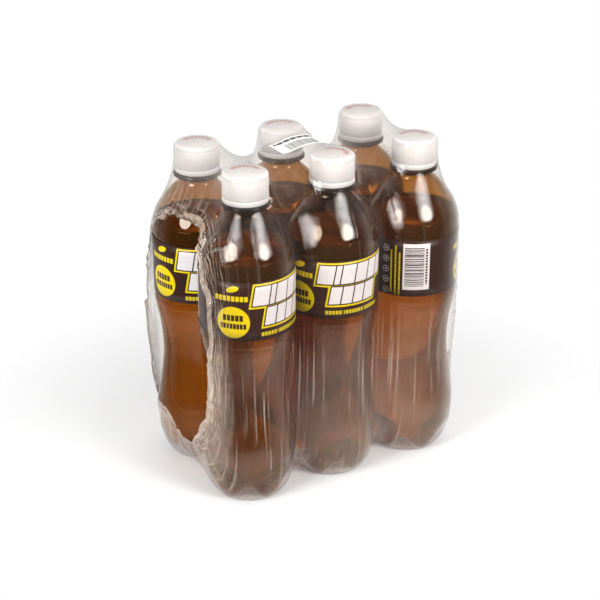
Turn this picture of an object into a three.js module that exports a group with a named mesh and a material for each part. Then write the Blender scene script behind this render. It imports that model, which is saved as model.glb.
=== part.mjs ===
// A shrink-wrapped case of six plastic drink bottles, three long and two deep.
// Each bottle is a blown shell with five feet, a drink up to its shoulder, a wrap-round label and a
// screw cap. One sleeve of film is shrunk round all six, open at both short ends, with a sticker on top.
// Millimetres, +X along the three bottles, +Z up, origin on the floor under the middle of the case.
import * as THREE from "three";

// Layout of the case
const COLUMNS = 3;
const ROWS = 2;
const PITCH = 65.8;
const BASE_Z = 1; // the feet stand this far above the floor, on the film
const SIDES = 20; // four facets to each of the five feet

// Bottle, with heights measured from its own feet
const FOOT_COUNT = 5;
const FOOT_R = 21.8;
const BULGE_R = 32;
const BULGE_Z = 31;
const WAIST_R = 27.3;
const WAIST_Z = 84;
const PANEL_R = 31.8;
const PANEL_LOW = 119;
const PANEL_HIGH = 170;
const NECK_R = 12.9;
const NECK_Z = 204;
const COLLAR_R = 16.4;
const COLLAR_LOW = 208;
const COLLAR_HIGH = 210.4;
const MOUTH_R = 12.4;
const MOUTH_Z = 227.2;
const WALL = 1;
const BORE_R = 10.8;

// Screw cap
const CAP_R = 15;
const CAP_LOW = 211.2;
const CAP_TOP = 230.4;
const CAP_BEVEL = 2;
const CAP_BORE = 12.8;
const CAP_ROOF = 227.8;

// Label and drink
const LABEL_LOW = 125.5;
const LABEL_HIGH = 166.5;
const LABEL_T = 0.4;
const GAP = 0.3; // clearance between touching pieces
const DRINK_LEVEL = 178;

// Film sleeve
const FILM_T = 0.5;
const RIM_T = 1.6; // the shrunk edge of each end opening is rolled thick
const FILM_CLEAR = 1.1;
const RIM_CENTRE_Z = 113;
const RIM_HALF_Y = 45;
const RIM_HALF_Z = 78;
const RIM_FLARE = 4; // the sides of the opening stand off the end bottles
const FACET_CLEAR = 0.4;
const AROUND_TENSION = 5; // the film shrinks this much harder round the case than along it
const RELAX_STEPS = 400;
const CLEAR_STEPS = 30;

// Sticker on the film
const STICKER = { x: -5, y: 1, length: 38, width: 21, thick: 0.4, steps: 6 };

const TURN = 2 * Math.PI;
const mix = (a, b, t) => a + (b - a) * t;

// How far each bottle is turned, in degrees: where a valley between two feet points.
const VALLEY_DEG = [-122, -106, -129, -100, -60, 30];

// Outside radius of the bottle's body, straight from one of these heights to the next.
const onShoulder = (z) => {
  const t = (z - PANEL_HIGH) / (NECK_Z - PANEL_HIGH);
  return [z, NECK_R + (PANEL_R - NECK_R) * (1 - t * t)];
};
const BODY = [
  [BULGE_Z, BULGE_R],
  [WAIST_Z, WAIST_R],
  [PANEL_LOW, PANEL_R],
  [PANEL_HIGH, PANEL_R],
  onShoulder(183),
  onShoulder(195),
  [NECK_Z, NECK_R],
];

function bodyRadius(z) {
  for (let k = 0; k + 1 < BODY.length; k++) {
    const [z0, r0] = BODY[k];
    const [z1, r1] = BODY[k + 1];
    if (z <= z1) return mix(r0, r1, (z - z0) / (z1 - z0));
  }
  return NECK_R;
}

// The base between its centre and the bulge: one meridian down a foot, one up a valley.
const FOOT_MERIDIAN = [[10, 5.5], [FOOT_R - 3, 0], [FOOT_R + 1.4, 0], [27.6, 6.5], [31, 18]];
const VALLEY_MERIDIAN = [[9, 8.4], [17.5, 10.6], [21.5, 13], [26.5, 17], [30, 23]];
const BASE_CENTRE_Z = 7.5;
const THICK_CENTRE = 2.7; // the base is thickest at its centre, where the blown wall began

// 1 on the middle of a foot, 0 in the middle of a valley.
const footShare = (angle) => (1 - Math.cos(FOOT_COUNT * angle)) / 2;

// Distance between two points of a flat list of coordinates.
function reach(list, a, b) {
  return Math.hypot(...[0, 1, 2].map((c) => list[3 * a + c] - list[3 * b + c]));
}

// Closed surface between two poles from rings of points, each given as [radius, height] at an angle.
function revolve(rings, firstPole, lastPole) {
  const position = [];
  const index = [];
  for (const ring of rings) {
    for (let s = 0; s < SIDES; s++) {
      const angle = (TURN * s) / SIDES;
      const [r, z] = ring(angle);
      position.push(r * Math.cos(angle), r * Math.sin(angle), z);
    }
  }
  const first = position.length / 3;
  position.push(0, 0, firstPole, 0, 0, lastPole);
  for (let s = 0; s < SIDES; s++) {
    const n = (s + 1) % SIDES;
    index.push(first, n, s);
    for (let k = 0; k + 1 < rings.length; k++) {
      const a = k * SIDES;
      const b = a + SIDES;
      // The shorter diagonal, so that a wall and what it holds are cut into facets alike
      const rising = reach(position, a + s, b + n) < reach(position, a + n, b + s);
      if (rising) index.push(a + s, a + n, b + n, a + s, b + n, b + s);
      else index.push(a + s, a + n, b + s, a + n, b + n, b + s);
    }
    const last = (rings.length - 1) * SIDES;
    index.push(first + 1, last + s, last + n);
  }
  const geometry = new THREE.BufferGeometry();
  geometry.setAttribute("position", new THREE.Float32BufferAttribute(position, 3));
  geometry.setIndex(index);
  geometry.computeVertexNormals();
  return geometry;
}

const ringAt = (r, z) => () => [r, z];

// Rings of the footed base, moved in from the outside surface by inset.
function baseRings(inset, picks) {
  return picks.map((k) => (angle) => {
    const share = footShare(angle);
    const r = mix(VALLEY_MERIDIAN[k][0], FOOT_MERIDIAN[k][0], share);
    const z = mix(VALLEY_MERIDIAN[k][1], FOOT_MERIDIAN[k][1], share);
    const out = (k / (FOOT_MERIDIAN.length - 1)) ** 2; // how much the surface faces outwards
    return [r - inset * out, z + inset * (1.15 - 0.6 * out)];
  });
}

function bottleGeometry() {
  const outside = BODY.map(([z, r]) => ringAt(r, z));
  const finish = [
    ringAt(NECK_R, COLLAR_LOW),
    ringAt(COLLAR_R, COLLAR_LOW + 0.6),
    ringAt(COLLAR_R, COLLAR_HIGH - 0.6),
    ringAt(MOUTH_R, COLLAR_HIGH),
    ringAt(MOUTH_R, MOUTH_Z),
    ringAt(BORE_R, MOUTH_Z),
    ringAt(BORE_R, NECK_Z),
  ];
  const inside = BODY.slice(0, -1).map(([z, r]) => ringAt(r - WALL, z));
  const wall = [...outside, ...finish, ...inside.reverse()];
  const base = baseRings(0, [0, 1, 2, 3, 4]);
  const innerBase = baseRings(WALL, [4, 2]);
  return revolve([...base, ...wall, ...innerBase], BASE_CENTRE_Z, BASE_CENTRE_Z + THICK_CENTRE);
}

function drinkGeometry() {
  const inset = WALL + GAP;
  const sides = BODY.filter(([z]) => z < DRINK_LEVEL).map(([z, r]) => ringAt(r - inset, z));
  return revolve(
    [...baseRings(inset, [2, 4]), ...sides, ringAt(bodyRadius(DRINK_LEVEL) - inset, DRINK_LEVEL)],
    BASE_CENTRE_Z + THICK_CENTRE + GAP,
    DRINK_LEVEL,
  );
}

function capGeometry() {
  return revolve(
    [
      ringAt(CAP_BORE, CAP_ROOF),
      ringAt(CAP_BORE, CAP_LOW),
      ringAt(CAP_R, CAP_LOW),
      ringAt(CAP_R - 0.2, CAP_TOP - CAP_BEVEL),
      ringAt(CAP_R - CAP_BEVEL, CAP_TOP),
    ],
    CAP_ROOF,
    CAP_TOP,
  );
}

// A sleeve round the label panel, lying just off the bottle.
function labelGeometry() {
  const r = PANEL_R + GAP;
  const profile = [
    new THREE.Vector2(r, LABEL_LOW),
    new THREE.Vector2(r + LABEL_T, LABEL_LOW),
    new THREE.Vector2(r + LABEL_T, LABEL_HIGH),
    new THREE.Vector2(r, LABEL_HIGH),
    new THREE.Vector2(r, LABEL_LOW),
  ];
  const lathe = new THREE.LatheGeometry(profile, SIDES);
  lathe.rotateX(Math.PI / 2); // a lathe turns about Y, and the bottle stands along Z
  lathe.rotateZ(Math.PI / 2);
  return lathe;
}

// Outline of a closed, labelled and capped bottle, from floor to cap, for the film to lie on.
function outline() {
  const points = [[0, 0], [FOOT_R + 1.4, 0], [27.6, 6.5], [31, 18]];
  for (const [z, r] of BODY) {
    const wrapped = z >= PANEL_LOW && z <= PANEL_HIGH;
    points.push([wrapped ? r + GAP + LABEL_T : r, z]);
  }
  points.push([COLLAR_R, COLLAR_LOW], [COLLAR_R, COLLAR_HIGH], [CAP_R, CAP_LOW + 0.1]);
  points.push([CAP_R, CAP_TOP - CAP_BEVEL], [CAP_R - CAP_BEVEL, CAP_TOP], [0, CAP_TOP]);
  return points;
}

const OUTLINE = outline();

// Radius of that outline at a height.
function outlineRadius(z) {
  for (let k = 0; k + 1 < OUTLINE.length; k++) {
    const [r0, z0] = OUTLINE[k];
    const [r1, z1] = OUTLINE[k + 1];
    if (z >= z0 && z <= z1 && z1 > z0) return mix(r0, r1, (z - z0) / (z1 - z0));
  }
  return 0;
}

const centres = [];
for (let row = 0; row < ROWS; row++) {
  for (let column = 0; column < COLUMNS; column++) {
    centres.push([(column - (COLUMNS - 1) / 2) * PITCH, (row - (ROWS - 1) / 2) * PITCH]);
  }
}

// Distance from a point to the nearest bottle's outline, negative inside it.
function distanceToBottles(p) {
  let nearest = Infinity;
  for (const [cx, cy] of centres) {
    const rho = Math.hypot(p.x - cx, p.y - cy);
    if (rho > BULGE_R + 8) continue;
    const z = p.z - BASE_Z;
    let best = Infinity;
    for (let k = 0; k + 1 < OUTLINE.length; k++) {
      const [r0, z0] = OUTLINE[k];
      const [r1, z1] = OUTLINE[k + 1];
      const length2 = (r1 - r0) ** 2 + (z1 - z0) ** 2;
      const t = Math.max(0, Math.min(1, ((rho - r0) * (r1 - r0) + (z - z0) * (z1 - z0)) / length2));
      best = Math.min(best, Math.hypot(rho - mix(r0, r1, t), z - mix(z0, z1, t)));
    }
    const inside = z > 0 && z < CAP_TOP && rho < outlineRadius(z);
    nearest = Math.min(nearest, inside ? -best : best);
  }
  return nearest;
}

// The film's grid: stations round the case in a plane across it, and stations along it.
// Half of the way round, from the middle of the top, over one side, to the middle of the bottom.
const HALF_LOOP = [
  [0, 233], [14.8, 233], [19.4, 234], [32.9, 234], [46.4, 234], [50.6, 225], [56, 205], [62, 186], [67, 166],
  [67, 136], [67, 106], [67, 74], [67, 44], [66, 25], [62, 10], [56, 1], [42, 0.5], [22, 0.5], [0, 0.5],
];
const LOOP = [
  ...HALF_LOOP,
  ...HALF_LOOP.slice(1, -1)
    .reverse()
    .map(([y, z]) => [-y, z]),
];
const MIDDLE_X = [0, 13.5, 18, 33, 47.8, 52.3, 65.8, 79.3];
const END_ROWS = 4;
const END_REACH = PITCH + BULGE_R + FILM_CLEAR;

// A point of the oval opening at one end, where the film's edge lies on the end bottles.
function rimPoint(y, z) {
  const angle = Math.atan2(z - RIM_CENTRE_Z, y * 1.6);
  const rimY = RIM_HALF_Y * Math.sign(Math.cos(angle)) * Math.abs(Math.cos(angle)) ** 0.8;
  const rimZ = RIM_CENTRE_Z + RIM_HALF_Z * Math.sin(angle);
  const overWaist = rimZ > BULGE_Z && rimZ < PANEL_LOW; // there the edge is taut and touches nothing
  const r = (overWaist ? PANEL_R + 0.5 : outlineRadius(rimZ - BASE_Z)) + FILM_CLEAR;
  const beyond = Math.max(0, Math.abs(rimY) - PITCH / 2);
  const flare = RIM_FLARE * Math.cos(angle) ** 2;
  return new THREE.Vector3(PITCH + Math.sqrt(r * r - beyond * beyond) + flare, rimY, rimZ);
}

// Each point of the sleeve's inner surface slides on a ray of its own, out from the middle of the case,
// between the bottles it must not enter and the floor it must not go through.
function rayThrough(x, y, z) {
  const from = new THREE.Vector3(Math.sign(x) * Math.min(Math.abs(x), 58), 0, Math.min(165, Math.max(70, z)));
  const way = new THREE.Vector3(x, y, z).sub(from);
  const start = way.length();
  way.normalize();
  const floor = way.z < 0 ? (FILM_T - from.z) / way.z : Infinity;
  const ray = { from, way, floor, least: 0, reach: Math.min(start, floor), point: new THREE.Vector3() };
  const probe = new THREE.Vector3();
  for (let t = start + 20; t > 0; t -= 0.25) {
    if (distanceToBottles(probe.copy(from).addScaledVector(way, t)) < FILM_CLEAR) {
      ray.least = Math.min(t, floor);
      break;
    }
  }
  slide(ray, ray.reach);
  return ray;
}

function slide(ray, reach) {
  ray.reach = Math.min(ray.floor, Math.max(ray.least, reach));
  ray.point.copy(ray.from).addScaledVector(ray.way, ray.reach);
}

// The rays in rows from one rim to the other; a rim's own points only ever move along the case.
function filmRays() {
  const half = MIDDLE_X.map((x) => LOOP.map(([y, z]) => [x, y, z]));
  const lastX = MIDDLE_X[MIDDLE_X.length - 1];
  for (let k = 1; k < END_ROWS; k++) {
    const t = k / END_ROWS;
    const out = Math.sin((Math.PI / 2) * t);
    half.push(
      LOOP.map(([y, z]) => {
        const rim = rimPoint(y, z);
        return [mix(lastX, END_REACH, out), mix(y, rim.y, t * t), mix(z, rim.z, t * t)];
      }),
    );
  }
  const rows = half.map((row) => row.map((p) => rayThrough(...p)));
  rows.push(
    LOOP.map(([y, z]) => {
      const point = rimPoint(y, z);
      const from = new THREE.Vector3(0, point.y, point.z);
      const way = new THREE.Vector3(1, 0, 0);
      return { from, way, floor: Infinity, least: point.x, reach: point.x, point };
    }),
  );
  const flip = new THREE.Vector3(-1, 1, 1);
  const mirrored = rows.slice(1).map((row) =>
    row.map((ray) => ({
      ...ray,
      from: ray.from.clone().multiply(flip),
      way: ray.way.clone().multiply(flip),
      point: ray.point.clone().multiply(flip),
    })),
  );
  return [...mirrored.reverse(), ...rows];
}

// Draws the film tight over the bottles, as heat does: each point slides towards the mean of its
// neighbours, until a bottle or the floor stops it.
function shrink(rows) {
  const around = LOOP.length;
  const mean = new THREE.Vector3();
  for (let step = 0; step < RELAX_STEPS; step++) {
    for (let i = 1; i + 1 < rows.length; i++) {
      for (let j = 0; j < around; j++) {
        const ray = rows[i][j];
        const beside = [rows[i + 1][j], rows[i - 1][j]];
        const round = [rows[i][(j + 1) % around], rows[i][(j - 1 + around) % around]];
        mean.set(0, 0, 0);
        let total = 0;
        for (const [tension, pair] of [[1, beside], [AROUND_TENSION, round]]) {
          for (const { point } of pair) {
            const weight = tension / (point.distanceTo(ray.point) + 0.1);
            mean.addScaledVector(point, weight);
            total += weight;
          }
        }
        slide(ray, mean.divideScalar(total).sub(ray.from).dot(ray.way));
      }
    }
    if (step % 10 === 9) clearFacets(rows);
  }
  for (let step = 0; step < CLEAR_STEPS && clearFacets(rows); step++);
}

// Where a facet is tried against the bottles, as shares of its three corners.
const PROBES = [];
for (let a = 0; a <= 5; a++) {
  for (let b = 0; a + b <= 5; b++) PROBES.push([a / 5, b / 5, (5 - a - b) / 5]);
}

// The two facets of one cell of the grid, split along whichever diagonal bulges out more.
function facets(rows, i, j) {
  const n = (j + 1) % LOOP.length;
  const [a, b, c, d] = [[i, j], [i + 1, j], [i + 1, n], [i, n]];
  const [pa, pb, pc, pd] = [a, b, c, d].map(([k, m]) => rows[k][m].point);
  const bulge = pa.clone().add(pc).sub(pb).sub(pd).dot(rows[i][j].way);
  return bulge > -1e-6 ? [[a, b, c], [a, c, d]] : [[a, b, d], [b, c, d]];
}

// A flat facet dips inside a round bottle between its corners, so the corners are slid out for it.
function clearFacets(rows) {
  const lifts = new Map();
  const probe = new THREE.Vector3();
  for (let i = 0; i + 1 < rows.length; i++) {
    for (let j = 0; j < LOOP.length; j++) {
      for (const facet of facets(rows, i, j)) {
        const corners = facet.map(([k, m]) => rows[k][m]);
        for (const shares of PROBES) {
          probe.set(0, 0, 0);
          corners.forEach(({ point }, k) => probe.addScaledVector(point, shares[k]));
          const lift = FACET_CLEAR - distanceToBottles(probe);
          if (lift < 0) continue;
          corners.forEach((ray, k) => {
            if (shares[k] > 0.19) lifts.set(ray, Math.max(lifts.get(ray) ?? 0, lift + 0.02));
          });
        }
      }
    }
  }
  for (const [ray, lift] of lifts) {
    ray.least = Math.min(ray.floor, ray.reach + lift);
    slide(ray, ray.least);
  }
  return lifts.size > 0;
}

// Outward normals at the points of the film's grid.
function gridNormals(rows) {
  const around = LOOP.length;
  const at = (i, j) => rows[Math.max(0, Math.min(rows.length - 1, i))][(j + around) % around].point;
  return rows.map((row, i) =>
    row.map((ray, j) => {
      const along = new THREE.Vector3().subVectors(at(i + 1, j), at(i - 1, j));
      const across = new THREE.Vector3().subVectors(at(i, j + 1), at(i, j - 1));
      return along.cross(across).normalize();
    }),
  );
}

// The sleeve as a closed solid: the inner surface, the outer one, and the two rims between them.
function filmGeometry(rows) {
  const around = LOOP.length;
  const count = rows.length * around;
  const normals = gridNormals(rows);
  const position = new Float32Array(count * 6);
  rows.forEach((row, i) =>
    row.forEach(({ point }, j) => {
      const thick = i === 0 || i === rows.length - 1 ? RIM_T : FILM_T;
      const out = point.clone().addScaledVector(normals[i][j], thick);
      out.z = Math.max(0, out.z);
      point.toArray(position, (i * around + j) * 3);
      out.toArray(position, (count + i * around + j) * 3);
    }),
  );
  const index = [];
  for (let i = 0; i + 1 < rows.length; i++) {
    for (let j = 0; j < around; j++) {
      for (const facet of facets(rows, i, j)) {
        const [a, b, c] = facet.map(([k, m]) => k * around + m);
        index.push(a, c, b, count + a, count + b, count + c);
      }
    }
  }
  const last = (rows.length - 1) * around;
  for (let j = 0; j < around; j++) {
    const n = (j + 1) % around;
    index.push(j, count + n, n, j, count + j, count + n);
    index.push(last + j, last + n, count + last + n, last + j, count + last + n, count + last + j);
  }
  const geometry = new THREE.BufferGeometry();
  geometry.setAttribute("position", new THREE.BufferAttribute(position, 3));
  geometry.setIndex(index);
  geometry.computeVertexNormals();
  return geometry;
}

// Height of the film's upper side over a point of the floor, from its own triangles.
function filmHeight(geometry, x, y) {
  const ray = new THREE.Raycaster(new THREE.Vector3(x, y, 400), new THREE.Vector3(0, 0, -1));
  const mesh = new THREE.Mesh(geometry, new THREE.MeshBasicMaterial({ side: THREE.DoubleSide }));
  return ray.intersectObject(mesh)[0].point.z;
}

// A thin sticker that follows the film under it.
function stickerGeometry(film) {
  const { x, y, length, width, thick, steps } = STICKER;
  const across = Math.ceil(steps / 2);
  const geometry = new THREE.BoxGeometry(length, width, thick, steps, across, 1);
  const position = geometry.getAttribute("position");
  const reach = 3; // the film's creases are felt this far round a point
  for (let k = 0; k < position.count; k++) {
    const px = position.getX(k) + x;
    const py = position.getY(k) + y;
    let top = 0;
    for (const [dx, dy] of [[0, 0], [reach, 0], [-reach, 0], [0, reach], [0, -reach]]) {
      top = Math.max(top, filmHeight(film, px + dx, py + dy));
    }
    position.setXYZ(k, px, py, top + GAP + thick / 2 + position.getZ(k));
  }
  geometry.computeVertexNormals();
  return geometry;
}

const material = (color, roughness, opacity = 1) =>
  new THREE.MeshStandardMaterial({ color, roughness, metalness: 0, opacity, transparent: opacity < 1 });

const amberPlastic = material(0x7a3f14, 0.12, 0.55);
const gingerDrink = material(0x5a2c10, 0.2, 0.9);
const whitePlastic = material(0xf4f2f0, 0.4);
const labelPrint = material(0x3a211c, 0.35);
const clearFilm = material(0xf3efec, 0.15, 0.25);
const stickerPaper = material(0xf2f0ee, 0.5);

const root = new THREE.Group();

function place(name, geometry, finish, group) {
  const mesh = new THREE.Mesh(geometry, finish);
  mesh.name = name;
  group.add(mesh);
}

centres.forEach(([x, y], k) => {
  const bottle = new THREE.Group();
  bottle.position.set(x, y, BASE_Z);
  bottle.rotation.z = THREE.MathUtils.degToRad(VALLEY_DEG[k]);
  place(`bottle_${k + 1}`, bottleGeometry(), amberPlastic, bottle);
  place(`drink_${k + 1}`, drinkGeometry(), gingerDrink, bottle);
  place(`label_${k + 1}`, labelGeometry(), labelPrint, bottle);
  place(`cap_${k + 1}`, capGeometry(), whitePlastic, bottle);
  root.add(bottle);
});

const filmRows = filmRays();
shrink(filmRows);
const filmSolid = filmGeometry(filmRows);
place("film", filmSolid, clearFilm, root);
place("sticker", stickerGeometry(filmSolid), stickerPaper, root);

export default root;
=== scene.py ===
# %% [markdown]
# # A shrink-wrapped case of six plastic bottles
#
# Six half-litre bottles of ginger beer stand three long and two deep, and one sleeve of clear film, shrunk
# by heat, holds them together. Every place could be typed again here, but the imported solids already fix
# where each bottle, drink, label, cap and the film are, so they are loaded first. Each is then given the
# fine shape and the finish of the real one.

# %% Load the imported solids
import math

import bpy
import numpy as np
from mathutils import Matrix, Vector
from mathutils.bvhtree import BVHTree


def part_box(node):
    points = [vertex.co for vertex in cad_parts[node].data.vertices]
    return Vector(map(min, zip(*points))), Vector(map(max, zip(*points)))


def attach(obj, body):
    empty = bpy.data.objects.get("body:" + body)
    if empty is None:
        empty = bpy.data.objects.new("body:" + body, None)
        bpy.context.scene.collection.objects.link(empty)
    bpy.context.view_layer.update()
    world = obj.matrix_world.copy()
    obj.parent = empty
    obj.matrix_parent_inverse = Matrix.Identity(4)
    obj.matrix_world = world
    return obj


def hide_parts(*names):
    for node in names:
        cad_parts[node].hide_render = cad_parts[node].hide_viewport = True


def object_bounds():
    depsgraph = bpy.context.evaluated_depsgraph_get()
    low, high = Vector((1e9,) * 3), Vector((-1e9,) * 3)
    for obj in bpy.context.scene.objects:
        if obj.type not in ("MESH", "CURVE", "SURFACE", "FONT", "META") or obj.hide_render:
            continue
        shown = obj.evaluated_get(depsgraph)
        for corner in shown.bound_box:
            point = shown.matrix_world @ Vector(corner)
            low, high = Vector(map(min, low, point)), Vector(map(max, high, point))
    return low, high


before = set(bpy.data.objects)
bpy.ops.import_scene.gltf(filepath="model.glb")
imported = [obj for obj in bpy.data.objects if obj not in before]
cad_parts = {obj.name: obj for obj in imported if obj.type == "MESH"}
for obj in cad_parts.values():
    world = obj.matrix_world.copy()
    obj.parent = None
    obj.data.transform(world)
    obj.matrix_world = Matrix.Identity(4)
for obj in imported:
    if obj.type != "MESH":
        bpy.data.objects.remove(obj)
cad_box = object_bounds()
MM = 0.001
print("the solids fill", [[round(c / MM, 1) for c in corner] for corner in cad_box], "mm")

# %% [markdown]
# ## The camera
#
# The picture was taken from the front left with a long lens, a little over a metre away and about 25
# degrees above the case. The camera could be placed by eye, but here its place was worked out from where
# the six caps and collars stand in the picture. It has no roll, so a point to aim at is all that its turn
# needs.

# %% Camera
EYE = Vector((-539.4, -877.4, 590.9)) * MM
AIM = Vector((-4.7, 0.1, 113.0)) * MM
LENS_MM = 96.84
SENSOR_MM = 36.0

bpy.ops.object.camera_add(location=EYE, rotation=(AIM - EYE).to_track_quat("-Z", "Y").to_euler())
camera = bpy.context.object
camera.data.lens = LENS_MM
camera.data.sensor_width = SENSOR_MM
bpy.context.scene.camera = camera
print("the camera stands", round((AIM - EYE).length / MM), "mm away")

# %% [markdown]
# ## Studio
#
# Every bottle mirrors two small round lights on its shoulder. They could be placed by trial, but lines
# drawn back from those highlights meet close to the case, left and right of the camera, so two bright discs
# stand there. A broad dim panel above fills in. The floor is a small round white table that glows a little,
# so that it shows as pure white.

# %% Floor and lights
FLOOR_SIZE = 3.0
MIDDLE = Vector((0, 0, 0.15))
DISC_WIDE, DISC_FAR = 0.29, 0.62
PANEL_WIDE, PANEL_DEEP, PANEL_FAR = 1.8, 1.4, 1.5


def deselect():
    bpy.ops.object.select_all(action="DESELECT")


def around(azimuth, elevation, far):
    """A point so far from the middle of the case, at an azimuth and an elevation in degrees."""
    a, e = math.radians(azimuth), math.radians(elevation)
    way = Vector((math.cos(a) * math.cos(e), math.sin(a) * math.cos(e), math.sin(e)))
    return MIDDLE + way * far


def lamp(name, shape, size, place, power):
    """A soft light that looks at the middle of the case."""
    data = bpy.data.lights.new(name, "AREA")
    data.shape = shape
    data.size, data.size_y = size
    data.energy = power
    lit = bpy.data.objects.new(name, data)
    bpy.context.scene.collection.objects.link(lit)
    lit.location = place
    lit.rotation_euler = (MIDDLE - place).to_track_quat("-Z", "Y").to_euler()
    print(name, "stands at", [round(c, 2) for c in place], "m")


deselect()
bpy.ops.mesh.primitive_plane_add(size=FLOOR_SIZE)
floor = bpy.context.object
floor.name = "studio_floor"
lamp("left_disc", "DISK", (DISC_WIDE, DISC_WIDE), around(-160, 25, DISC_FAR), 3.2)
lamp("right_disc", "DISK", (DISC_WIDE, DISC_WIDE), around(-79, 26, DISC_FAR), 3.6)
lamp("fill_panel", "RECTANGLE", (PANEL_WIDE, PANEL_DEEP), around(-60, 75, PANEL_FAR), 6)

# %% [markdown]
# ## Shader maths
#
# Print, haze and scratches are sums and products of masks. Written as nodes by hand they would be hard to
# read, so a small class lets a socket stand in a Python expression, and each operator adds its Math node.

# %% A socket that can be used in an expression
class Value:
    """An output socket; arithmetic on it adds Math nodes to its shader."""

    def __init__(self, shader, socket):
        self.shader = shader
        self.socket = socket

    def math(self, operation, *others, swap=False):
        terms = [self, *others]
        if swap:
            terms.reverse()
        return self.shader.node("Math", {"operation": operation}, dict(enumerate(terms)))

    def __add__(self, other):
        return self.math("ADD", other)

    __radd__ = __add__

    def __mul__(self, other):
        return self.math("MULTIPLY", other)

    __rmul__ = __mul__

    def __sub__(self, other):
        return self.math("SUBTRACT", other)

    def __rsub__(self, other):
        return self.math("SUBTRACT", other, swap=True)

    def __truediv__(self, other):
        return self.math("DIVIDE", other)

    def __pow__(self, other):
        return self.math("POWER", other)

    def __abs__(self):
        return self.math("ABSOLUTE")

    def above(self, edge, soft):
        """0 below the edge and 1 above it, with a soft step."""
        limits = {"Value": self, "From Min": edge - soft / 2, "From Max": edge + soft / 2}
        return self.shader.node("MapRange", {"clamp": True}, limits)

    def below(self, edge, soft):
        return 1 - self.above(edge, soft)

    def between(self, low, high, soft):
        return self.above(low, soft) * self.below(high, soft)


print("a socket now takes + - * / ** and abs, and above, below and between")

# %% A material under construction
class Shader:
    """A material whose nodes are added one by one."""

    def __init__(self, name):
        self.material = bpy.data.materials.new(name)
        self.material.use_nodes = True
        self.tree = self.material.node_tree
        self.tree.nodes.clear()

    def node(self, kind, settings=None, sockets=None, output=0):
        made = self.tree.nodes.new("ShaderNode" + kind)
        for key, value in (settings or {}).items():
            setattr(made, key, value)
        for key, value in (sockets or {}).items():
            if isinstance(value, Value):
                self.tree.links.new(value.socket, made.inputs[key])
            else:
                made.inputs[key].default_value = value
        return Value(self, made.outputs[output])

    def mix(self, factor, low, high):
        """Two colours mixed by a factor."""
        return self.node("Mix", {"data_type": "RGBA"}, {0: factor, 6: low, 7: high}, output=2)

    def spots(self, scale, detail=2.0, roughness=0.5, stretch=(1, 1, 1), where=None, shift=(0, 0, 0)):
        """Noise on Object coordinates, or on those given, stretched along the axes."""
        where = where or self.node("TexCoord", output="Object")
        laid = self.node("Mapping", None, {"Vector": where, "Scale": stretch, "Location": shift})
        settings = {"Vector": laid, "Scale": scale, "Detail": detail, "Roughness": roughness}
        return self.node("TexNoise", None, settings)

    def parts(self, vector):
        """The three numbers of a vector."""
        return [self.node("SeparateXYZ", None, {0: vector}, output=k) for k in range(3)]

    def mirror(self, head_on, bump):
        """The share of light that a clear sheet mirrors: head_on, and all of it at a grazing angle."""
        facing = self.node("LayerWeight", None, {"Blend": 0.5, "Normal": bump}, output="Facing")
        return head_on + (1 - head_on) * facing**5

    def surface(self, shader):
        """The finished material, with this shader on its surface."""
        out = self.tree.nodes.new("ShaderNodeOutputMaterial")
        self.tree.links.new(shader.socket, out.inputs["Surface"])
        print(self.material.name, "has", len(self.tree.nodes), "nodes")
        return self.material


# %% Colours as a screen shows them
def srgb(red, green, blue):
    """A colour as a screen shows it, from 0 to 255, as the linear one that a shader takes."""
    shares = [value / 255 for value in (red, green, blue)]
    linear = [c / 12.92 if c <= 0.04045 else ((c + 0.055) / 1.055) ** 2.4 for c in shares]
    return (*linear, 1)


print("a screen's grey of 128 is a share of", round(srgb(128, 128, 128)[0], 3), "of the light")

# %% Floor finish
TABLE_R, TABLE_FADE = 0.21, 0.12
TABLE_GLOW = 0.14


def floor_finish():
    """White, and fading out beyond the table's edge, where the white room takes over."""
    s = Shader("white_floor")
    x, y, _ = s.parts(s.node("TexCoord", output="Object"))
    far = (x * x + y * y) ** 0.5
    tone = s.mix(s.spots(3.0), srgb(214, 214, 214), srgb(220, 220, 220))
    sockets = {"Base Color": tone, "Roughness": 0.7, "Alpha": far.below(TABLE_R, TABLE_FADE)}
    light = {"Emission Color": (1, 1, 1, 1), "Emission Strength": TABLE_GLOW}
    return s.surface(s.node("BsdfPrincipled", None, {**sockets, **light}))


floor.data.materials.append(floor_finish())

# %% [markdown]
# ## The room
#
# What shines in a clear bottle is the room round it. Walls could be modelled, but a world that changes with
# the direction costs nothing. This one is white behind the case, which lights the drink from the back, and
# nearly dark behind the camera, which keeps the bottles deep brown. The camera itself sees plain white, as
# the cut-out background of the picture is.

# %% World
BRIGHT, DIM = 1.0, 0.06
TO_CAMERA = (-0.52, -0.85, 0.0)
BRIGHT_UP_TO, DIM_FROM = -0.45, 0.3

world = bpy.data.worlds.new("white_room")
world.use_nodes = True
bpy.context.scene.world = world
nodes, links = world.node_tree.nodes, world.node_tree.links
nodes.clear()
way = nodes.new("ShaderNodeTexCoord")
towards = nodes.new("ShaderNodeVectorMath")
towards.operation = "DOT_PRODUCT"
towards.inputs[1].default_value = TO_CAMERA
links.new(way.outputs["Generated"], towards.inputs[0])
room = nodes.new("ShaderNodeMapRange")
room.inputs["From Min"].default_value = BRIGHT_UP_TO
room.inputs["From Max"].default_value = DIM_FROM
room.inputs["To Min"].default_value = BRIGHT
room.inputs["To Max"].default_value = DIM
links.new(towards.outputs["Value"], room.inputs["Value"])
path = nodes.new("ShaderNodeLightPath")
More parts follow.
